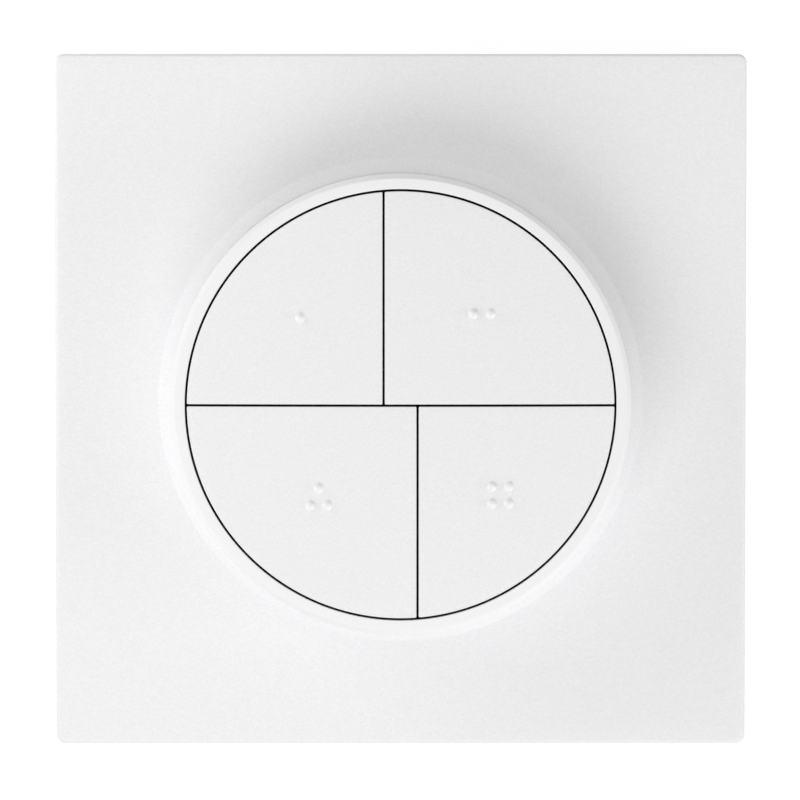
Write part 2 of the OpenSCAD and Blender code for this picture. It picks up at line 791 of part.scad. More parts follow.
module chassis() {
  block_half = rod_r + block_wall;
  window_w = switch_w + 2 * switch_clear;
  color("dimgray") difference() {
    union() {
      pipe(journal_r, chassis_in_r, floor_z, deck_z - floor_z + deck_t / 2);
      pipe(flange_r, chassis_in_r, flange_z, flange_t + deck_t / 2);
      disc(flange_r, deck_z, deck_t);
      on_axes() disc(boss_r, boss_seat_z, deck_z - boss_seat_z + deck_t / 2);
      on_posts() disc(post_d / 2, board_top_z, board_standoff + deck_t / 2);
      for (up = [-1, 1]) {
        for (x = block_x(up)) {
          translate([x, up * hinge_offset, 0])
            slab(block_w, 2 * block_half, deck_z + deck_t / 2, hinge_z + block_half - deck_z - deck_t / 2);
        }
      }
      slab(stop_rib_l, stop_rib_w, deck_z + deck_t / 2, carrier_z - stop_clear - deck_z - deck_t / 2);
    }
    for (index = [0 : 3]) {
      at_switch(index) slab(window_w, window_w, deck_z - eps, deck_t + 2 * eps);
    }
    on_axes() disc(screw_d / 2 + pilot_clear, boss_seat_z - eps, screw_l + eps);
    for (up = [-1, 1]) rod_bore(up, rod_r + rod_seat_clear, rod_l + 2 * eps);
  }
}

module hinge_rod(up) {
  color("silver") rod_bore(up, rod_r, rod_l);
}

module lower_glide_ring() {
  color("ivory") pipe(base_r, base_in_r, glide_z, glide_lower_t);
}

module upper_glide_ring() {
  color("ivory") pipe(flange_r, journal_r + run_clear, rib_top_z + glide_clear, glide_upper_t);
}

// Section of the white ring: lip with a sloping front and a chamfer, side and rounded lower edge
module dial_ring_section() {
  difference() {
    union() {
      translate([shell_in_r, ring_z]) square([ring_wall - ring_foot_r, lip_z - ring_z]);
      translate([shell_in_r, ring_z + ring_foot_r]) square([ring_wall, lip_z - ring_z - ring_foot_r]);
      translate([ring_r - ring_foot_r, ring_z + ring_foot_r]) circle(ring_foot_r);
      polygon([[lip_in_r, lip_z], [ring_r, lip_z], [ring_r, front_z - ring_edge_h],
               [ring_r - ring_edge_w, front_z - ring_fall], [lip_in_r, front_z]]);
    }
    translate([lip_in_r - eps, ring_z - eps])
      square([shell_in_r - lip_in_r + eps, lip_z - ring_z + eps]);
  }
}

module dial_ring() {
  color("white") rotate_extrude() dial_ring_section();
}

module dial_hub() {
  color("dimgray") union() {
    pipe(hub_out_r, hub_in_r, ring_z + hub_lift, lip_z - ring_z - hub_lift);
    pipe(hub_out_r - bond_gap, rib_in_r, rib_z, rib_t);
  }
}

module encoder_magnet() {
  color("black") pipe(hub_in_r - bond_gap, flange_r + encoder_clear, rib_top_z, encoder_h);
}

// Height of the domed front at a point
function dome_z(x, y) = front_z + key_crown - crown_r + sqrt(crown_r * crown_r - x * x - y * y);

// Plan of a key, with its edges drawn in by inset
module key_plan(index, inset) {
  across = key_across[index];
  up = key_up[index];
  edge_x = -up * split_offset + across * (key_gap / 2 + inset);
  edge_y = key_gap / 2 + inset;
  intersection() {
    circle(key_r - inset);
    translate([across > 0 ? edge_x : edge_x - ring_d, up > 0 ? edge_y : -edge_y - ring_d]) square(ring_d);
  }
}

module raised_dot(x, y) {
  ball_r = (dot_d * dot_d / 4 + dot_h * dot_h) / (2 * dot_h);
  translate([x, y, dome_z(x, y) + dot_h - ball_r]) sphere(ball_r);
}

// The whole domed front, a little wider than the keys, turned in narrow cones
module domed_disc() {
  edge_r = key_r + eps;
  rotate_extrude() polygon(concat([[0, cap_z], [edge_r, cap_z]],
    [for (step = [dome_steps : -1 : 0]) let (r = edge_r * step / dome_steps) [r, dome_z(r, 0)]]));
}

module key_blank(index) {
  intersection() {
    translate([0, 0, cap_z]) linear_extrude(cap_t + 2 * key_crown) key_plan(index, 0);
    domed_disc();
  }
}

module key_cap_1() {
  color("white") union() {
    key_blank(0);
    raised_dot(-dot_1_x, dot_1_y);
  }
}

module key_cap_2() {
  color("white") union() {
    key_blank(1);
    raised_dot(dot_2_x - dot_pitch / 2, dot_2_y);
    raised_dot(dot_2_x + dot_pitch / 2, dot_2_y);
  }
}

module key_cap_3() {
  color("white") union() {
    key_blank(2);
    raised_dot(-dot_3_x, -dot_3_y + dot_pitch / 2);
    raised_dot(-dot_3_x - dot_pitch / 2, -dot_3_y - dot_pitch / 2);
    raised_dot(-dot_3_x + dot_pitch / 2, -dot_3_y - dot_pitch / 2);
  }
}

module key_cap_4() {
  color("white") union() {
    key_blank(3);
    raised_dot(dot_4_x - dot_pitch / 2, -dot_4_y + dot_pitch / 2);
    raised_dot(dot_4_x + dot_pitch / 2, -dot_4_y + dot_pitch / 2);
    raised_dot(dot_4_x - dot_pitch / 2, -dot_4_y - dot_pitch / 2);
    raised_dot(dot_4_x + dot_pitch / 2, -dot_4_y - dot_pitch / 2);
  }
}

module key_carrier(index) {
  across = key_across[index];
  up = key_up[index];
  color("dimgray") difference() {
    union() {
      translate([0, 0, carrier_z]) linear_extrude(carrier_t) key_plan(index, carrier_inset);
      at_switch(index) {
        translate([0, 0, nub_z]) sphere(nub_r);
        disc(nub_r, nub_z, carrier_z + carrier_t / 2 - nub_z);
      }
      for (x = [ear_inner_x, ear_outer_x]) {
        translate([across * x, up * hinge_offset, 0]) {
          slab(ear_w, 2 * ear_r, hinge_z, carrier_z + carrier_t / 2 - hinge_z);
          translate([-ear_w / 2, 0, hinge_z]) rotate([0, 90, 0]) cylinder(r = ear_r, h = ear_w);
        }
      }
    }
    for (x = [ear_inner_x, ear_outer_x]) {
      translate([across * x, 0, 0]) rod_bore(up, ear_bore_r, ear_w + 2 * eps);
    }
  }
}

wall_plate();
mounting_bracket();
adhesive_pads();
keeper_disc();
base_cup();
foot_ring();
holding_magnets();
case_screws();
battery_door();
coin_cell();
positive_contact();
negative_contact();
circuit_board();
radio_module();
hall_sensors();
board_components();
switch_bodies();
setup_switch();
setup_button();
chassis();
hinge_rod(1);  // upper_hinge_rod
hinge_rod(-1);  // lower_hinge_rod
lower_glide_ring();
upper_glide_ring();
dial_ring();
dial_hub();
encoder_magnet();
key_cap_1();
key_cap_2();
key_cap_3();
key_cap_4();
key_carrier(0);  // key_carrier_1
key_carrier(1);  // key_carrier_2
key_carrier(2);  // key_carrier_3
key_carrier(3);  // key_carrier_4
switch_plunger(0);  // switch_plunger_1
switch_plunger(1);  // switch_plunger_2
switch_plunger(2);  // switch_plunger_3
switch_plunger(3);  // switch_plunger_4
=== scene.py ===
import math

import bmesh
import bpy
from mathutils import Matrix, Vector
from mathutils.geometry import delaunay_2d_cdt


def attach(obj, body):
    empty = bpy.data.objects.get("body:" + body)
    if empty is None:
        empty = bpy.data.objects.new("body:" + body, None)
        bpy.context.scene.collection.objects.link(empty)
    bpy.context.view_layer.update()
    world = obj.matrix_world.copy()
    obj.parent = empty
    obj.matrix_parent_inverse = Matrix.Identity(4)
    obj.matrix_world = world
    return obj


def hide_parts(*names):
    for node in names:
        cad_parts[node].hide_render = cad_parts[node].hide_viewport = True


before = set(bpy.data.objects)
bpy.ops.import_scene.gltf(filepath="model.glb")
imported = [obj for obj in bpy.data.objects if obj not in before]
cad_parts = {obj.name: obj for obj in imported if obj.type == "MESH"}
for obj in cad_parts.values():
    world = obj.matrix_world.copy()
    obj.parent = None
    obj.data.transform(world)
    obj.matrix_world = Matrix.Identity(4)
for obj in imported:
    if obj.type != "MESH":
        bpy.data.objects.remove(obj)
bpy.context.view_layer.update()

# Looks of a smart button: a white wall plate with a lift-off puck, whose dial ring turns
# round four tilting keys. Shapes are worked out in millimetres in the frame of the CAD model.

MM = 0.001
SMOOTH_ANGLE = math.radians(32)

# Sizes of the plate, which its solid has too
PLATE_HALF = 40.0
PLATE_TOP = 5.2
PLATE_CORNER = 1.0
PLATE_EDGE = 0.4
INNER_HALF = 38.4
INNER_TOP = 3.6
INNER_CORNER = 0.5
COLLAR_R = 28.07
COLLAR_TOP_R = 26.4
COLLAR_TOP = 5.6
SOCKET_R = 23.95
SOCKET_FLOOR = 3.2
CUP_R = 25.55
CUP_BOTTOM = 1.6

# Pockets for the bracket's tongues, seats for the bracket and stakes for the keeper disc
POCKET_HALF_W = 5.2
POCKET_BOTTOM = 1.2
POCKET_TOP = 2.4
POCKET_END = 39.0
SEAT_PLACE = 32
SEAT_HALF = 3
SEAT_BOTTOM = 2.8
STAKE_TURNS = (30, 150, 270)
STAKE_CIRCLE_R = 15
STAKE_R = 1.0
STAKE_HEAD_R = 1.7
STAKE_HEAD_BOTTOM = 4.2
STAKE_HEAD_TOP = 4.5

# Reach of a pocket's box into the hollow, and heights at which seats and stakes end inside the plate
POCKET_OVERLAP = 0.5
SEAT_ROOT = 4.4
STAKE_ROOT = 2.4

# Sizes of the dial ring
RING_R = 26.25
RING_BOTTOM = 5.9
RING_FALL = 0.12
RING_EDGE_W = 0.5
RING_EDGE_H = 0.7
RING_FOOT = 0.3
LIP_IN_R = 24.55
LIP_BOTTOM = 15.7
SHELL_IN_R = 25.15
FRONT = 16.8

# Sizes of the keys and their dots
KEY_R = 24.3
KEY_GAP = 0.25
KEY_CROWN = 0.86
SPLIT = 1.93
CAP_BOTTOM = 15.7
DOT_R = 0.525
DOT_H = 0.45
DOT_HALF_PITCH = 0.975

# Sizes of the foot ring and the foam pads
FOOT_OUT_R = 22.85
FOOT_IN_R = 20.65
FOOT_TOP = 4.7
FOOT_BOTTOM = 4.2
PAD_X = 27
PAD_Y = 31
PAD_HALF_L = 9.0
PAD_HALF_W = 5.0
PAD_T = 0.8
PAD_CORNER = 1.5

# Small roundings that only the looks have
FINE_ROUND = 0.12
COLLAR_TOP_ROUND = 0.2
COLLAR_FOOT_ROUND = 0.25
CUP_ROOT_ROUND = 0.2
CUP_EDGE_ROUND = 0.3
LIP_ROUND = 0.1
CHAMFER_ROUND = 0.12
CAP_ROUND = 0.1
CAP_CORNER = 0.14
DOT_FILLET = 0.08
FOOT_TOP_ROUND = 0.08
FOOT_EDGE_ROUND = 0.18

# Inset and height along the lower half of a foam pad's side, whose middle draws in
PAD_SIDE = [(0.16, 0.0), (0.04, 0.06), (0.0, 0.16), (0.1, 0.3), (0.13, 0.4)]

# Steps of the meshes
SIDE_STEPS = 64
CORNER_STEPS = 8
ROUND_STEPS = 6
RING_STEPS = 360
DOT_STEPS = 32
BALL_RINGS = 7
FILLET_RINGS = 3
CAP_ARC_STEPS = 110
CAP_EDGE_STEPS = 36
CAP_TURN_STEPS = 6

# Spacing of the meshes: the smallest loops round an axis, the flat strips beside round
# shapes, the loops between a circle and a square, and the grid on the caps
PLATE_FAN_R = 0.5
STAKE_FAN_R = 0.2
FLAT_STRIP = 1
FRONT_SHARES = (0.3, 0.6, 0.9)
BACK_SHARES = (0.1, 0.4, 0.7)
CAP_GRID = 0.9
GRID_MARGIN = CAP_ROUND + 0.35
DOT_CLEAR = 1.25
DOT_SKIRT = 1.2
TRIANGLE_HEIGHT = math.sqrt(0.75)
MERGE_DISTANCE = 1e-8
DELAUNAY_DISTANCE = 1e-6


# Meshes

def smooth(mesh):
    """Shades a mesh smooth, with sharp edges where it turns by more than SMOOTH_ANGLE."""
    mesh.shade_smooth()
    mesh.set_sharp_from_angle(angle=SMOOTH_ANGLE)


def new_object(name, points, faces):
    """A smooth mesh object from points in millimetres, with its normals facing out."""
    mesh = bpy.data.meshes.new(name)
    mesh.from_pydata([Vector(point) * MM for point in points], [], faces)
    work = bmesh.new()
    work.from_mesh(mesh)
    bmesh.ops.remove_doubles(work, verts=work.verts, dist=MERGE_DISTANCE)
    bmesh.ops.recalc_face_normals(work, faces=work.faces)
    work.to_mesh(mesh)
    work.free()
    obj = bpy.data.objects.new(name, mesh)
    bpy.context.scene.collection.objects.link(obj)
    smooth(mesh)
    return obj


def even_turns(count):
    """Angles in equal steps all the way round."""
    return [2 * math.pi * step / count for step in range(count)]


def towards(turn):
    """The flat direction at an angle."""
    return Vector((math.cos(turn), math.sin(turn)))


def circle_loop(r, z, turns, x=0, y=0):
    """A loop of points on a circle at the given angles."""
    return [Vector((x + r * math.cos(turn), y + r * math.sin(turn), z)) for turn in turns]


def square_loop(half, corner, z):
    """A loop round a rounded square, with its side points spread evenly by angle."""
    loop = []
    for quarter in range(4):
        side = []
        for step in range(SIDE_STEPS + 1):
            angle = math.radians(90 * step / SIDE_STEPS - 45)
            side.append((half, (half - corner) * math.tan(angle)))
        for step in range(1, CORNER_STEPS):
            angle = math.radians(90 * step / CORNER_STEPS)
            side.append((half - corner + corner * math.cos(angle), half - corner + corner * math.sin(angle)))
        for x, y in side:
            for _ in range(quarter):
                x, y = -y, x
            loop.append(Vector((x, y, z)))
    return loop


def loops_between(first, last, shares):
    """Loops at the given shares of the way from one loop to another."""
    return [[a.lerp(b, share) for a, b in zip(first, last)] for share in shares]


def rounded_path(corners, closed):
    """Points along a path of (x, z, radius) corners, with an arc at each corner that has a radius."""
    count = len(corners)
    path = []
    for index, (x, z, radius) in enumerate(corners):
        here = Vector((x, z))
        if radius == 0 or (not closed and index in (0, count - 1)):
            path.append(here)
            continue
        before = Vector(corners[index - 1][:2])
        after = Vector(corners[(index + 1) % count][:2])
        back = (before - here).normalized()
        ahead = (after - here).normalized()
        half = back.angle(ahead) / 2
        centre = here + (back + ahead).normalized() * (radius / math.sin(half))
        start = here + back * (radius / math.tan(half)) - centre
        end = here + ahead * (radius / math.tan(half)) - centre
        sweep = start.angle_signed(end)
        for step in range(ROUND_STEPS + 1):
            turn = -sweep * step / ROUND_STEPS
            cosine = math.cos(turn)
            sine = math.sin(turn)
            arm = Vector((start.x * cosine - start.y * sine, start.x * sine + start.y * cosine))
            path.append(centre + arm)
    return path


def side_faces(loop_count, count, closed):
    """Faces of a skin over loops of count points each, which also joins the last to the first if closed."""
    faces = []
    for row in range(loop_count if closed else loop_count - 1):
        below = row * count
        above = (row + 1) % loop_count * count
        for index in range(count):
            following = (index + 1) % count
            faces.append((below + index, below + following, above + following, above + index))
    return faces


def loft(loops, closed):
    """Points and faces of a skin over loops with equal counts: a closed tube, or a fan at each end."""
    count = len(loops[0])
    points = [point for loop in loops for point in loop]
    faces = side_faces(len(loops), count, closed)
    if not closed:
        for loop, first in ((loops[0], 0), (loops[-1], (len(loops) - 1) * count)):
            middle = sum((Vector(point) for point in loop), Vector()) / count
            points.append(middle)
            for index in range(count):
                faces.append((first + index, first + (index + 1) % count, len(points) - 1))
    return points, faces


def lathe(name, corners):
    """A ring turned round the axis from a closed section of (r, z, radius) corners."""
    turns = even_turns(RING_STEPS)
    loops = [circle_loop(r, z, turns) for r, z in rounded_path(corners, True)]
    return new_object(name, *loft(loops, True))


def box_mesh(low, high):
    """Points and faces of a box between two corners."""
    xs, ys, zs = zip(low, high)
    points = [(x, y, z) for z in zs for y in ys for x in xs]
    faces = [(0, 2, 3, 1), (4, 5, 7, 6), (0, 1, 5, 4), (2, 6, 7, 3), (0, 4, 6, 2), (1, 3, 7, 5)]
    return points, faces


def joined(parts):
    """Points and faces of several parts as one list each."""
    points = []
    faces = []
    for part_points, part_faces in parts:
        first = len(points)
        points += [Vector(point) for point in part_points]
        faces += [tuple(first + index for index in face) for face in part_faces]
    return points, faces


def boolean(target, tool, operation):
    """Cuts the tool from the target or joins them, and removes the tool."""
    cut = target.modifiers.new("cut", "BOOLEAN")
    cut.operation = operation
    cut.solver = "EXACT"
    cut.object = tool
    graph = bpy.context.evaluated_depsgraph_get()
    result = bpy.data.meshes.new_from_object(target.evaluated_get(graph))
    target.modifiers.clear()
    target.data = result
    bpy.data.objects.remove(tool)
    smooth(result)


# Wall plate

def plate_skin():
    """Loops over the plate: socket, collar, front, skirt, hollow back and the back of the cup."""
    outline = square_loop(PLATE_HALF, PLATE_CORNER, 0)
    turns = [math.atan2(point.y, point.x) for point in outline]
    front_corners = [
        (PLATE_FAN_R, SOCKET_FLOOR, 0),
        (SOCKET_R, SOCKET_FLOOR, FINE_ROUND),
        (SOCKET_R, COLLAR_TOP, FINE_ROUND),
        (COLLAR_TOP_R, COLLAR_TOP, COLLAR_TOP_ROUND),
        (COLLAR_R, PLATE_TOP, COLLAR_FOOT_ROUND),
        (COLLAR_R + FLAT_STRIP, PLATE_TOP, 0),
    ]
    back_corners = [
        (CUP_R + FLAT_STRIP, INNER_TOP, 0),
        (CUP_R, INNER_TOP, CUP_ROOT_ROUND),
        (CUP_R, CUP_BOTTOM, CUP_EDGE_ROUND),
        (PLATE_FAN_R, CUP_BOTTOM, 0),
    ]
    loops = [circle_loop(r, z, turns) for r, z in rounded_path(front_corners, False)]
    flat = square_loop(PLATE_HALF - PLATE_EDGE, PLATE_CORNER - PLATE_EDGE, PLATE_TOP)
    loops += loops_between(loops[-1], flat, FRONT_SHARES)
    for step in range(ROUND_STEPS + 1):
        angle = math.radians(90 * step / ROUND_STEPS)
        inset = PLATE_EDGE * (1 - math.sin(angle))
        drop = PLATE_EDGE * (1 - math.cos(angle))
        loops.append(square_loop(PLATE_HALF - inset, PLATE_CORNER - inset, PLATE_TOP - drop))
    loops.append(square_loop(PLATE_HALF, PLATE_CORNER, FINE_ROUND))
    loops.append(square_loop(PLATE_HALF - FINE_ROUND, PLATE_CORNER - FINE_ROUND, 0))
    loops.append(square_loop(INNER_HALF + FINE_ROUND, INNER_CORNER, 0))
    loops.append(square_loop(INNER_HALF, INNER_CORNER, FINE_ROUND))
    ceiling = square_loop(INNER_HALF, INNER_CORNER, INNER_TOP)
    loops.append(ceiling)
    rings = [circle_loop(r, z, turns) for r, z in rounded_path(back_corners, False)]
    return loops + loops_between(ceiling, rings[0], BACK_SHARES) + rings


def pocket_boxes():
    """Blind pockets in the skirt for the bracket's tongues."""
    start = INNER_HALF - POCKET_OVERLAP
    spans = ((start, POCKET_END), (-POCKET_END, -start))
    boxes = []
    for low, high in spans:
        boxes.append(box_mesh((low, -POCKET_HALF_W, POCKET_BOTTOM), (high, POCKET_HALF_W, POCKET_TOP)))
    for low, high in spans:
        boxes.append(box_mesh((-POCKET_HALF_W, low, POCKET_BOTTOM), (POCKET_HALF_W, high, POCKET_TOP)))
    return boxes


def seat_boxes():
    """Seats behind the plate's front that the bracket rests against."""
    boxes = []
    for x in (-SEAT_PLACE, SEAT_PLACE):
        for y in (-SEAT_PLACE, SEAT_PLACE):
            low = (x - SEAT_HALF, y - SEAT_HALF, SEAT_BOTTOM)
            high = (x + SEAT_HALF, y + SEAT_HALF, SEAT_ROOT)
            boxes.append(box_mesh(low, high))
    return boxes


def stakes():
    """Headed stakes in the socket that hold the keeper disc."""
    corners = [
        (STAKE_FAN_R, STAKE_HEAD_TOP, 0),
        (STAKE_HEAD_R, STAKE_HEAD_TOP, FINE_ROUND),
        (STAKE_HEAD_R, STAKE_HEAD_BOTTOM, 0),
        (STAKE_R, STAKE_HEAD_BOTTOM, 0),
        (STAKE_R, STAKE_ROOT, 0),
        (STAKE_FAN_R, STAKE_ROOT, 0),
    ]
    path = rounded_path(corners, False)
    turns = even_turns(DOT_STEPS)
    parts = []
    for place_turn in STAKE_TURNS:
        x = STAKE_CIRCLE_R * math.cos(math.radians(place_turn))
        y = STAKE_CIRCLE_R * math.sin(math.radians(place_turn))
        parts.append(loft([circle_loop(r, z, turns, x, y) for r, z in path], False))
    return parts


def make_wall_plate():
    plate = new_object("wall_plate_shell", *loft(plate_skin(), False))
    boolean(plate, new_object("pockets", *joined(pocket_boxes())), "DIFFERENCE")
    boolean(plate, new_object("seats", *joined(seat_boxes() + stakes())), "UNION")
    return plate


# Dial ring, foot ring and foam pads

def make_dial_ring():
    """The white ring: a front that falls a little outwards, a chamfer, a wall and a lip round the keys."""
    return lathe("dial_ring_shell", [
        (LIP_IN_R, FRONT, LIP_ROUND),
        (RING_R - RING_EDGE_W, FRONT - RING_FALL, CHAMFER_ROUND),
        (RING_R, FRONT - RING_EDGE_H, CHAMFER_ROUND),
        (RING_R, RING_BOTTOM, RING_FOOT),
        (SHELL_IN_R, RING_BOTTOM, LIP_ROUND),
        (SHELL_IN_R, LIP_BOTTOM, 0),
        (LIP_IN_R, LIP_BOTTOM, LIP_ROUND / 2),
    ])


def make_foot_ring():
    return lathe("foot_ring_rubber", [
        (FOOT_OUT_R, FOOT_TOP, FOOT_TOP_ROUND),
        (FOOT_IN_R, FOOT_TOP, FOOT_TOP_ROUND),
        (FOOT_IN_R, FOOT_BOTTOM, FOOT_EDGE_ROUND),
        (FOOT_OUT_R, FOOT_BOTTOM, FOOT_EDGE_ROUND),
    ])


def pad_loop(x, y, inset, z):
    """A loop round a foam pad with its middle at x and y."""
    reach = PAD_CORNER - inset
    loop = []
    for corner in range(4):
        sign_x = 1 if corner in (0, 3) else -1
        sign_y = 1 if corner in (0, 1) else -1
        corner_x = x + sign_x * (PAD_HALF_L - PAD_CORNER)
        corner_y = y + sign_y * (PAD_HALF_W - PAD_CORNER)
        for step in range(CORNER_STEPS + 1):
            turn = math.radians(90 * corner + 90 * step / CORNER_STEPS)
            loop.append((corner_x + reach * math.cos(turn), corner_y + reach * math.sin(turn), z))
    return loop


def make_pads():
    """Four foam pads with soft edges and sides that draw in a little."""
    upper_side = [(inset, PAD_T - z) for inset, z in reversed(PAD_SIDE[:-1])]
    parts = []
    for x in (-PAD_X, PAD_X):
        for y in (-PAD_Y, PAD_Y):
            loops = [pad_loop(x, y, inset, z) for inset, z in PAD_SIDE + upper_side]
            parts.append(loft(loops, False))
    return new_object("foam_pads", *joined(parts))


# Keys

# A dot is a cap of a ball with this radius. Its fillet starts at BALL_EDGE and ends at FILLET_R.
BALL = (DOT_R ** 2 + DOT_H ** 2) / (2 * DOT_H)
FILLET_R = math.sqrt((BALL + DOT_FILLET) ** 2 - (DOT_FILLET + BALL - DOT_H) ** 2)
BALL_EDGE = FILLET_R * BALL / (BALL + DOT_FILLET)


def dome(x, y):
    """Height of the domed front at a point."""
    radius = (KEY_R ** 2 + KEY_CROWN ** 2) / (2 * KEY_CROWN)
    return FRONT + KEY_CROWN - radius + math.sqrt(radius ** 2 - x ** 2 - y ** 2)


def dot_rise(r):
    """Height of a raised dot over the dome at a distance from the dot's middle."""
    if r < BALL_EDGE:
        return math.sqrt(BALL ** 2 - r ** 2) - BALL + DOT_H
    if r < FILLET_R:
        return DOT_FILLET - math.sqrt(DOT_FILLET ** 2 - (r - FILLET_R) ** 2)
    return 0.0


def dot_spots(dots):
    """Mesh points in rings over each dot, over its fillet and just outside it."""
    radii = [BALL_EDGE * step / BALL_RINGS for step in range(1, BALL_RINGS + 1)]
    for step in range(1, FILLET_RINGS + 1):
        radii.append(BALL_EDGE + (FILLET_R - BALL_EDGE) * step / FILLET_RINGS)
    radii.append(FILLET_R * DOT_SKIRT)
    spots = []
    for x, y in dots:
        spots.append(Vector((x, y)))
        for r in radii:
            for turn in even_turns(DOT_STEPS):
                spots.append(Vector((x + r * math.cos(turn), y + r * math.sin(turn))))
    return spots


def grid_spots(across, up, edge_x, edge_y, dots):
    """Mesh points in a grid of triangles, clear of a cap's edges and dots."""
    reach = int(KEY_R / CAP_GRID) + 1
    spots = []
    for row in range(-reach, reach + 1):
        for column in range(-reach, reach + 1):
            spot = Vector(((column + row % 2 / 2) * CAP_GRID, row * CAP_GRID * TRIANGLE_HEIGHT))
            past_edges = spot.x * across > edge_x + GRID_MARGIN and spot.y * up > edge_y + GRID_MARGIN
            clear = all((spot - Vector(dot)).length > DOT_CLEAR for dot in dots)
            if past_edges and clear and spot.length < KEY_R - GRID_MARGIN:
                spots.append(spot)
    return spots


def steps_between(start, end, count):
    """Numbers from start towards end in equal steps, without the end itself."""
    return [start + (end - start) * step / count for step in range(count)]


def cap_outline(low_x, low_y):
    """Outline of a cap, each point as a base point and the direction that the edge faces there.

    The base points lie CAP_CORNER inside the cap, with the cap's inner corner at low_x and low_y.
    """
    arc_r = KEY_R - CAP_CORNER
    side_x = math.sqrt(arc_r ** 2 - low_y ** 2)
    top_y = math.sqrt(arc_r ** 2 - low_x ** 2)
    side_turn = math.atan2(low_y, side_x)
    top_turn = math.atan2(top_y, low_x)
    down = -math.pi / 2
    left = math.pi
    outline = []
    for x in steps_between(low_x, side_x, CAP_EDGE_STEPS):
        outline.append((Vector((x, low_y)), Vector((0, -1))))
    for turn in steps_between(down, side_turn, CAP_TURN_STEPS):
        outline.append((Vector((side_x, low_y)), towards(turn)))
    for turn in steps_between(side_turn, top_turn, CAP_ARC_STEPS):
        outline.append((towards(turn) * arc_r, towards(turn)))
    for turn in steps_between(top_turn, left, CAP_TURN_STEPS):
        outline.append((Vector((low_x, top_y)), towards(turn)))
    for y in steps_between(top_y, low_y, CAP_EDGE_STEPS):
        outline.append((Vector((low_x, y)), Vector((-1, 0))))
    for turn in steps_between(left, left - down, CAP_TURN_STEPS):
        outline.append((Vector((low_x, low_y)), towards(turn)))
    return outline


def make_key_cap(number, across, up, dots):
    """One key cap: a domed piece of the disc with rounded corners, softened edges and raised dots.

    It is made for the upper right key, and across and up are the signs that mirror it to its place.
    """
    edge_x = KEY_GAP / 2 - across * up * SPLIT
    edge_y = KEY_GAP / 2
    outline = cap_outline(edge_x + CAP_CORNER, edge_y + CAP_CORNER)
    count = len(outline)

    def rim(inset, drop):
        loop = []
        for base, facing in outline:
            flat = base + facing * (CAP_CORNER - inset)
            x = flat.x * across
            y = flat.y * up
            loop.append(Vector((x, y, dome(x, y) - drop)))
        return loop

    # The rim from the flat underside over the rounded edge
    loops = [[Vector((point.x, point.y, CAP_BOTTOM)) for point in rim(0, 0)]]
    for step in range(ROUND_STEPS + 1):
        angle = math.radians(90 * step / ROUND_STEPS)
        loops.append(rim(CAP_ROUND * (1 - math.cos(angle)), CAP_ROUND * (1 - math.sin(angle))))
    points = [point for loop in loops for point in loop]
    faces = [tuple(range(count))] + side_faces(len(loops), count, False)

    # The top: the inner rim, rings round the dots and a grid between them
    spots = [point.xy for point in loops[-1]]
    spots += dot_spots(dots)
    spots += grid_spots(across, up, edge_x, edge_y, dots)
    numbers = list(range(len(points) - count, len(points)))
    for spot in spots[count:]:
        rise = max(dot_rise((spot - Vector(dot)).length) for dot in dots)
        numbers.append(len(points))
        points.append(Vector((spot.x, spot.y, dome(spot.x, spot.y) + rise)))
    _, _, triangles, sources, _, _ = delaunay_2d_cdt(spots, [], [], 0, DELAUNAY_DISTANCE)
    for triangle in triangles:
        faces.append(tuple(numbers[sources[index][0]] for index in triangle))
    return new_object(f"key_{number}_cap_shell", points, faces)


# Materials

# Range that holds most values of a noise
NOISE_LOW = 0.3
NOISE_HIGH = 0.7

# Unevenness of the gloss of plastics and metals, and the stretch of a metal's rolling lines
PLASTIC_GLOSS_CHANGE = 0.05
METAL_POLISH = 0.06
METAL_WEAR = 0.08
METAL_STRETCH = (0.06, 1, 1)

# Faces of a key cap whose normals rise less than this are painted dark, as shade in the gaps between the
# keys, with a short change to the pale front colour
STEEP = 0.2
STEEP_BLUR = 0.1


def start_material(name):
    """A new node material with its node tree, its shader and its coordinates."""
    material = bpy.data.materials.new(name)
    material.use_nodes = True
    tree = material.node_tree
    shader = tree.nodes["Principled BSDF"]
    coordinates = tree.nodes.new("ShaderNodeTexCoord")
    return material, tree, shader, coordinates.outputs["Object"]


def noise(tree, coordinates, size_mm, detail):
    """A noise whose spots are about size_mm across."""
    node = tree.nodes.new("ShaderNodeTexNoise")
    node.inputs["Scale"].default_value = 1 / (size_mm * MM)
    node.inputs["Detail"].default_value = detail
    tree.links.new(coordinates, node.inputs["Vector"])
    return node.outputs["Fac"]


def spread(tree, value, socket, low, high):
    """Carries a noise to a socket as a number between low and high."""
    node = tree.nodes.new("ShaderNodeMapRange")
    node.inputs["From Min"].default_value = NOISE_LOW
    node.inputs["From Max"].default_value = NOISE_HIGH
    node.inputs["To Min"].default_value = low
    node.inputs["To Max"].default_value = high
    tree.links.new(value, node.inputs["Value"])
    tree.links.new(node.outputs["Result"], socket)


def colour_mix(tree):
    """A mix of two colours: its factor, both colour inputs and its output."""
    node = tree.nodes.new("ShaderNodeMix")
    node.data_type = "RGBA"
    colours = [entry for entry in node.inputs if entry.type == "RGBA"]
    output = next(entry for entry in node.outputs if entry.type == "RGBA")
    return node.inputs["Factor"], colours[0], colours[1], output


def two_tone(tree, shader, value, colour, share):
    """Gives a shader a colour that a noise changes to a share of itself."""
    factor, low, high, output = colour_mix(tree)
    spread(tree, value, factor, low=0, high=1)
    low.default_value = (*(channel * share for channel in colour), 1)
    high.default_value = (*colour, 1)
    tree.links.new(output, shader.inputs["Base Color"])


def bump(tree, shader, height, depth_mm):
    """Turns a noise into relief of about depth_mm."""
    node = tree.nodes.new("ShaderNodeBump")
    node.inputs["Distance"].default_value = depth_mm * MM
    tree.links.new(height, node.inputs["Height"])
    tree.links.new(node.outputs["Normal"], shader.inputs["Normal"])


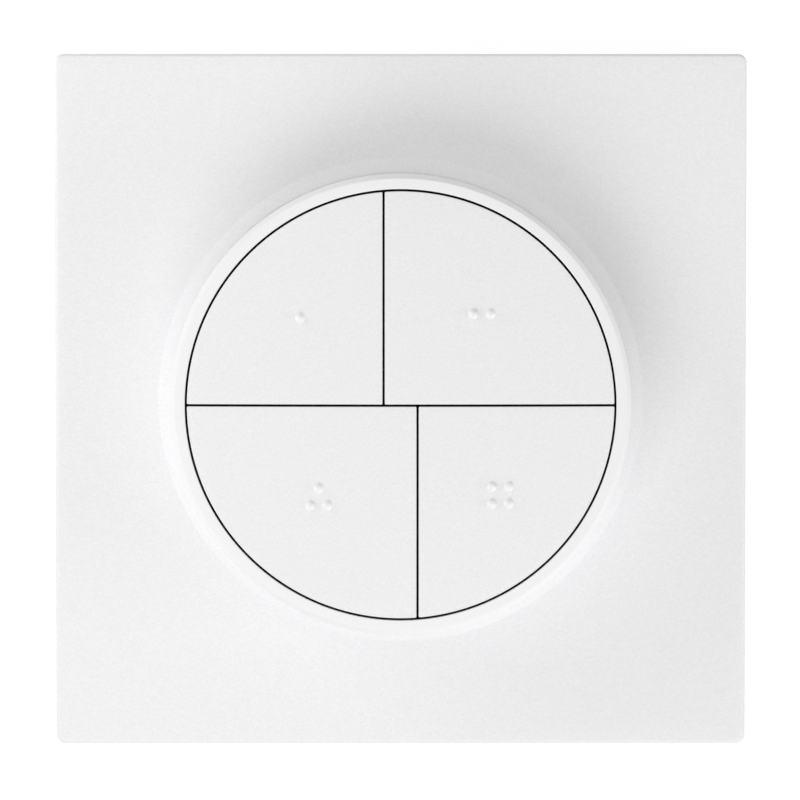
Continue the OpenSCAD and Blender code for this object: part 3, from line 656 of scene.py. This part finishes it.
def plastic(name, colour, roughness, grain_mm, depth_mm, hollow_shade=0.03):
    """Moulded plastic or rubber: uneven gloss, and a fine spark-eroded grain whose hollows are darkened as
    painted shade.
    """
    material, tree, shader, coordinates = start_material(name)
    grain_and_hollow_shade = noise(tree, coordinates, grain_mm, detail=2)
    # Painted shade: the colour falls where the grain is low, as shade in the grain's hollows
    two_tone(tree, shader, grain_and_hollow_shade, colour, 1 - hollow_shade)
    gloss = noise(tree, coordinates, size_mm=1.4, detail=4)
    low = roughness - PLASTIC_GLOSS_CHANGE
    high = roughness + PLASTIC_GLOSS_CHANGE
    spread(tree, gloss, shader.inputs["Roughness"], low, high)
    bump(tree, shader, grain_and_hollow_shade, depth_mm)
    return material


def painted_gap_shade_plastic(name, gap_shade, **front):
    """Pale plastic with painted shade: faces that stand steeper than STEEP, the side walls in the gaps and
    the underside, are painted dark.
    """
    material = plastic(name, **front)
    tree = material.node_tree
    base = tree.nodes["Principled BSDF"].inputs["Base Color"]
    front_colour = base.links[0].from_socket
    normal = tree.nodes.new("ShaderNodeTexCoord").outputs["Normal"]
    parts = tree.nodes.new("ShaderNodeSeparateXYZ")
    tree.links.new(normal, parts.inputs[0])
    # Painted shade: steep faces take the dark colour, so the gaps between the keys look deep
    gap_shade_mask = tree.nodes.new("ShaderNodeMapRange")
    gap_shade_mask.inputs["From Min"].default_value = STEEP - STEEP_BLUR
    gap_shade_mask.inputs["From Max"].default_value = STEEP + STEEP_BLUR
    tree.links.new(parts.outputs["Z"], gap_shade_mask.inputs["Value"])
    factor, low, high, output = colour_mix(tree)
    tree.links.new(gap_shade_mask.outputs["Result"], factor)
    low.default_value = (*gap_shade, 1)
    tree.links.new(front_colour, high)
    tree.links.new(output, base)
    return material


def metal(name, colour, roughness, lines_mm):
    """Plated metal with fine rolling lines along X."""
    material, tree, shader, coordinates = start_material(name)
    shader.inputs["Metallic"].default_value = 1
    stretch = tree.nodes.new("ShaderNodeMapping")
    stretch.inputs["Scale"].default_value = METAL_STRETCH
    tree.links.new(coordinates, stretch.inputs["Vector"])
    lines = noise(tree, stretch.outputs["Vector"], lines_mm, detail=3)
    stains = noise(tree, coordinates, size_mm=5, detail=3)
    two_tone(tree, shader, stains, colour, share=0.9)
    spread(tree, lines, shader.inputs["Roughness"], roughness - METAL_POLISH, roughness + METAL_WEAR)
    bump(tree, shader, lines, depth_mm=0.002)
    return material


def foam(name, colour, cell_mm):
    """Closed-cell foam tape with round cells."""
    material, tree, shader, coordinates = start_material(name)
    cells = tree.nodes.new("ShaderNodeTexVoronoi")
    cells.inputs["Scale"].default_value = 1 / (cell_mm * MM)
    tree.links.new(coordinates, cells.inputs["Vector"])
    two_tone(tree, shader, cells.outputs["Distance"], colour, share=0.7)
    gloss = noise(tree, coordinates, size_mm=0.6, detail=3)
    spread(tree, gloss, shader.inputs["Roughness"], low=0.8, high=0.95)
    bump(tree, shader, cells.outputs["Distance"], depth_mm=0.05)
    return material


def laminate(name, colour, weave_mm):
    """Circuit board under solder mask: a faint weave below a glossy coat."""
    material, tree, shader, coordinates = start_material(name)
    weave = tree.nodes.new("ShaderNodeTexChecker")
    weave.inputs["Scale"].default_value = 1 / (weave_mm * MM)
    tree.links.new(coordinates, weave.inputs["Vector"])
    stains = noise(tree, coordinates, size_mm=3, detail=4)
    two_tone(tree, shader, stains, colour, share=0.75)
    gloss = noise(tree, coordinates, size_mm=0.8, detail=3)
    spread(tree, gloss, shader.inputs["Roughness"], low=0.25, high=0.4)
    bump(tree, shader, weave.outputs["Fac"], depth_mm=0.004)
    return material


PLATE_WHITE = (0.892, 0.882, 0.895)
RING_WHITE = (0.905, 0.905, 0.905)
KEY_WHITE = (0.89, 0.89, 0.89)
BRACKET_GREY = (0.64, 0.64, 0.645)
BASE_GREY = (0.72, 0.72, 0.72)
# DARK is also painted on the key caps' steep faces as shade in the gaps between the keys
DARK = (0.011, 0.011, 0.0115)
RUBBER_GREY = (0.17, 0.17, 0.175)
GLIDE_CREAM = (0.7, 0.67, 0.58)
FERRITE_BLACK = (0.03, 0.029, 0.028)
CHIP_BLACK = (0.02, 0.02, 0.021)
PLUNGER_BLACK = (0.03, 0.03, 0.03)
SETUP_GREY = (0.2, 0.2, 0.205)
STEEL_GREY = (0.56, 0.57, 0.58)
CELL_GREY = (0.62, 0.62, 0.62)
NICKEL_GREY = (0.66, 0.64, 0.6)
SHIELD_GREY = (0.55, 0.55, 0.53)
CONTACT_GOLD = (0.75, 0.58, 0.25)
FOAM_GREY = (0.1, 0.105, 0.115)
BOARD_GREEN = (0.012, 0.075, 0.035)

# Each plastic's grain hollows are darkened as painted shade, by 0.03 of its colour unless given
PLASTICS = {
    "plate_plastic": dict(colour=PLATE_WHITE, roughness=0.5, grain_mm=0.22, depth_mm=0.02, hollow_shade=0.07),
    "dial_plastic": dict(colour=RING_WHITE, roughness=0.46, grain_mm=0.22, depth_mm=0.006),
    "bracket_plastic": dict(colour=BRACKET_GREY, roughness=0.55, grain_mm=0.3, depth_mm=0.006),
    "base_plastic": dict(colour=BASE_GREY, roughness=0.5, grain_mm=0.25, depth_mm=0.005),
    "dark_plastic": dict(colour=DARK, roughness=0.6, grain_mm=0.25, depth_mm=0.005, hollow_shade=0.2),
    "foot_rubber": dict(colour=RUBBER_GREY, roughness=0.8, grain_mm=0.35, depth_mm=0.012, hollow_shade=0.12),
    "glide_plastic": dict(colour=GLIDE_CREAM, roughness=0.4, grain_mm=0.3, depth_mm=0.004),
    "encoder_ferrite": dict(colour=FERRITE_BLACK, roughness=0.65, grain_mm=0.2, depth_mm=0.01, hollow_shade=0.2),
    "chip_plastic": dict(colour=CHIP_BLACK, roughness=0.55, grain_mm=0.15, depth_mm=0.006, hollow_shade=0.15),
    "plunger_plastic": dict(colour=PLUNGER_BLACK, roughness=0.45, grain_mm=0.2, depth_mm=0.004, hollow_shade=0.12),
    "setup_plastic": dict(colour=SETUP_GREY, roughness=0.5, grain_mm=0.2, depth_mm=0.005, hollow_shade=0.08),
}
METALS = {
    "steel": dict(colour=STEEL_GREY, roughness=0.32, lines_mm=0.12),
    "cell_steel": dict(colour=CELL_GREY, roughness=0.25, lines_mm=0.1),
    "magnet_nickel": dict(colour=NICKEL_GREY, roughness=0.2, lines_mm=0.3),
    "shield_metal": dict(colour=SHIELD_GREY, roughness=0.35, lines_mm=0.2),
    "contact_metal": dict(colour=CONTACT_GOLD, roughness=0.28, lines_mm=0.1),
}
KEY_FRONT = dict(colour=KEY_WHITE, roughness=0.48, grain_mm=0.22, depth_mm=0.02, hollow_shade=0.07)

materials = {name: plastic(name, **settings) for name, settings in PLASTICS.items()}
materials.update({name: metal(name, **settings) for name, settings in METALS.items()})
# The key caps' side walls and underside are painted dark as shade in the gaps between the keys
materials["key_plastic"] = painted_gap_shade_plastic("key_plastic", DARK, **KEY_FRONT)
materials["foam"] = foam("foam", FOAM_GREY, cell_mm=0.25)
materials["board_laminate"] = laminate("board_laminate", BOARD_GREEN, weave_mm=0.5)

slot_nodes = {
    "bracket_plastic": ["mounting_bracket"],
    "steel": ["keeper_disc", "case_screws", "upper_hinge_rod", "lower_hinge_rod"],
    "base_plastic": ["base_cup", "battery_door"],
    "magnet_nickel": ["holding_magnets"],
    "cell_steel": ["coin_cell"],
    "contact_metal": ["positive_contact", "negative_contact"],
    "board_laminate": ["circuit_board"],
    "shield_metal": ["radio_module"],
    "chip_plastic": ["hall_sensors", "board_components", "switch_bodies", "setup_switch"],
    # The key carriers and the dial hub are near-black as painted shade seen down the gaps round the keys
    "dark_plastic": ["chassis", "dial_hub", "key_carrier_1", "key_carrier_2", "key_carrier_3",
                     "key_carrier_4"],
    "glide_plastic": ["lower_glide_ring", "upper_glide_ring"],
    "encoder_ferrite": ["encoder_magnet"],
    "plunger_plastic": ["switch_plunger_1", "switch_plunger_2", "switch_plunger_3", "switch_plunger_4"],
    "setup_plastic": ["setup_button"],
}


# Pieces

def paint(obj, slot):
    obj.data.materials.clear()
    obj.data.materials.append(materials[slot])


def place(piece, body, node, slot):
    """Puts a piece on its body in place of a CAD node."""
    paint(piece, slot)
    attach(piece, body)
    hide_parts(node)
    return piece


def dot_group(x, y, offsets):
    """Middles of the dots of a key, with offsets in half pitches from the middle of the group."""
    return [(x + DOT_HALF_PITCH * right, y + DOT_HALF_PITCH * above) for right, above in offsets]


for slot, names in slot_nodes.items():
    for name in names:
        paint(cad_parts[name], slot)

place(make_wall_plate(), "plate", "wall_plate", "plate_plastic")
place(make_dial_ring(), "dial", "dial_ring", "dial_plastic")
place(make_foot_ring(), "puck", "foot_ring", "foot_rubber")
pads = place(make_pads(), "plate", "adhesive_pads", "foam")

# Side of each key across and up, and its dots
KEYS = [
    (-1, 1, dot_group(-11.4, 9.95, [(0, 0)])),
    (1, 1, dot_group(9.25, 10.4, [(-1, 0), (1, 0)])),
    (-1, -1, dot_group(-9.3, -10.4, [(0, 1), (-1, -1), (1, -1)])),
    (1, -1, dot_group(11.35, -10.2, [(-1, 1), (1, 1), (-1, -1), (1, -1)])),
]
for number, (across, up, dots) in enumerate(KEYS, 1):
    place(make_key_cap(number, across, up, dots), f"key_{number}", f"key_cap_{number}", "key_plastic")


# Floor, world, lamps and camera

SENSOR_WIDTH = 36
PICTURE_PIXELS = 800


def seen_rays(tree):
    """1 for camera, glossy and transmission rays, and 0 for the others."""
    path = tree.nodes.new("ShaderNodeLightPath")
    total = path.outputs["Is Camera Ray"]
    for kind in ("Is Glossy Ray", "Is Transmission Ray"):
        node = tree.nodes.new("ShaderNodeMath")
        node.operation = "MAXIMUM"
        tree.links.new(total, node.inputs[0])
        tree.links.new(path.outputs[kind], node.inputs[1])
        total = node.outputs[0]
    return total


def make_floor(half, z, bounce, shadow, glow_level):
    """A floor that is almost white to the camera, takes a little shadow and returns little light."""
    points = [(-half, -half, z), (half, -half, z), (half, half, z), (-half, half, z)]
    floor = new_object("floor", points, [(0, 1, 2, 3)])
    material = bpy.data.materials.new("floor_white")
    material.use_nodes = True
    tree = material.node_tree
    tree.nodes.clear()
    plain = tree.nodes.new("ShaderNodeBsdfDiffuse")
    plain.inputs["Color"].default_value = (bounce, bounce, bounce, 1)
    shade = tree.nodes.new("ShaderNodeBsdfDiffuse")
    shade.inputs["Color"].default_value = (shadow, shadow, shadow, 1)
    glow = tree.nodes.new("ShaderNodeEmission")
    glow.inputs["Strength"].default_value = glow_level
    both = tree.nodes.new("ShaderNodeAddShader")
    choice = tree.nodes.new("ShaderNodeMixShader")
    output = tree.nodes.new("ShaderNodeOutputMaterial")
    tree.links.new(shade.outputs[0], both.inputs[0])
    tree.links.new(glow.outputs[0], both.inputs[1])
    tree.links.new(seen_rays(tree), choice.inputs[0])
    tree.links.new(plain.outputs[0], choice.inputs[1])
    tree.links.new(both.outputs[0], choice.inputs[2])
    tree.links.new(choice.outputs[0], output.inputs["Surface"])
    floor.data.materials.append(material)


def make_world(level):
    """A world that lights the part evenly at a grey level and looks white."""
    world = bpy.data.worlds.new("studio")
    bpy.context.scene.world = world
    world.use_nodes = True
    tree = world.node_tree
    tree.nodes.clear()
    fill = tree.nodes.new("ShaderNodeBackground")
    fill.inputs["Color"].default_value = (level, level, level, 1)
    white = tree.nodes.new("ShaderNodeBackground")
    white.inputs["Color"].default_value = (1, 1, 1, 1)
    choice = tree.nodes.new("ShaderNodeMixShader")
    output = tree.nodes.new("ShaderNodeOutputWorld")
    tree.links.new(seen_rays(tree), choice.inputs[0])
    tree.links.new(fill.outputs[0], choice.inputs[1])
    tree.links.new(white.outputs[0], choice.inputs[2])
    tree.links.new(choice.outputs[0], output.inputs["Surface"])


def make_lamp(name, azimuth, elevation, distance, size, level):
    """A soft square lamp, seen in no reflection, that lights a facing surface at the part to level."""
    turn = math.radians(azimuth)
    rise = math.radians(elevation)
    away = Vector((math.cos(turn) * math.cos(rise), math.sin(turn) * math.cos(rise), math.sin(rise)))
    lamp = bpy.data.lights.new(name, "AREA")
    lamp.shape = "SQUARE"
    lamp.size = size
    lamp.energy = level * (math.pi * distance) ** 2
    obj = bpy.data.objects.new(name, lamp)
    obj.location = away * distance
    obj.rotation_euler = away.to_track_quat("Z", "Y").to_euler()
    obj.visible_camera = False
    obj.visible_glossy = False
    bpy.context.scene.collection.objects.link(obj)


def make_camera(tilt, distance, pixels_per_metre, pixels_right, pixels_up):
    """A camera almost straight in front, tilted down from a little above the middle.

    The scale is for a picture of PICTURE_PIXELS at the plate's front, and the pixels right and up
    shift the camera there.
    """
    data = bpy.data.cameras.new("camera")
    data.sensor_width = SENSOR_WIDTH
    data.lens = SENSOR_WIDTH * pixels_per_metre * distance / PICTURE_PIXELS
    data.clip_start = 0.01
    data.clip_end = 10
    camera = bpy.data.objects.new("camera", data)
    middle = Vector((0, 0, PLATE_TOP * MM))
    back = Vector((0, math.sin(tilt), math.cos(tilt)))
    right = Vector((pixels_right / pixels_per_metre, 0, 0))
    upward = Vector((0, math.cos(tilt), -math.sin(tilt)))
    camera.location = middle + back * distance + right + upward * (pixels_up / pixels_per_metre)
    camera.rotation_euler = (-tilt, 0, 0)
    bpy.context.scene.collection.objects.link(camera)
    bpy.context.scene.camera = camera


make_floor(half=900, z=-0.1, bounce=0.3, shadow=0.12, glow_level=0.92)
make_world(level=0.565)
make_lamp("key_lamp", azimuth=250, elevation=45, distance=0.7, size=0.5, level=0.45)
make_lamp("left_lamp", azimuth=150, elevation=18, distance=0.25, size=0.15, level=0.35)
make_lamp("right_lamp", azimuth=347, elevation=8, distance=0.7, size=0.35, level=0.45)
make_camera(tilt=math.radians(3.0), distance=0.6, pixels_per_metre=8628, pixels_right=-0.61, pixels_up=-0.06)
bpy.context.scene.view_settings.view_transform = "Standard"
